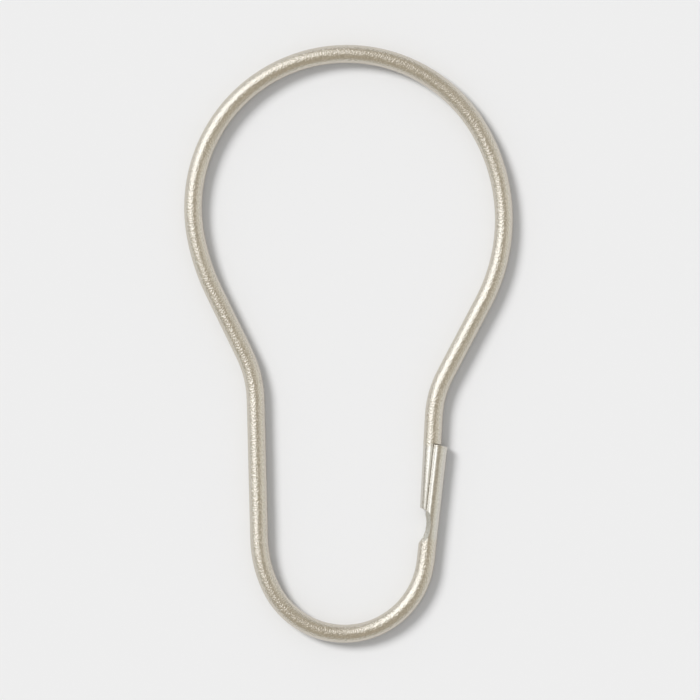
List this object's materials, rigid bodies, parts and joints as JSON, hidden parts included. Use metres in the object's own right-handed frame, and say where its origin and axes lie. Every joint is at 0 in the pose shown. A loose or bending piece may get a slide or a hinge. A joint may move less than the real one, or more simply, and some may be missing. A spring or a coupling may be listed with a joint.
{
  "type": "curtain hook",
  "caption": "Pear-shaped curtain hook bent from one length of wire: a wide loop for the rod, a narrow foot for the curtain's eyelet, and lapped ends that snap together in one leg.",
  "frame": {"origin": "centre of the rod loop's round arc, in the middle plane of the wire", "axes": "+Z square to the ring's plane, up as it lies flat; +Y from the foot towards the top of the rod loop; +X towards the leg that opens"},
  "size_m": [0.0434, 0.079, 0.0024],
  "materials": {
    "satin_nickel": "satin nickel plate on spring wire, with a fine even grain"
  },
  "bodies": {
    "root": {"hook_wire": "satin_nickel"}
  },
  "joints": []
}
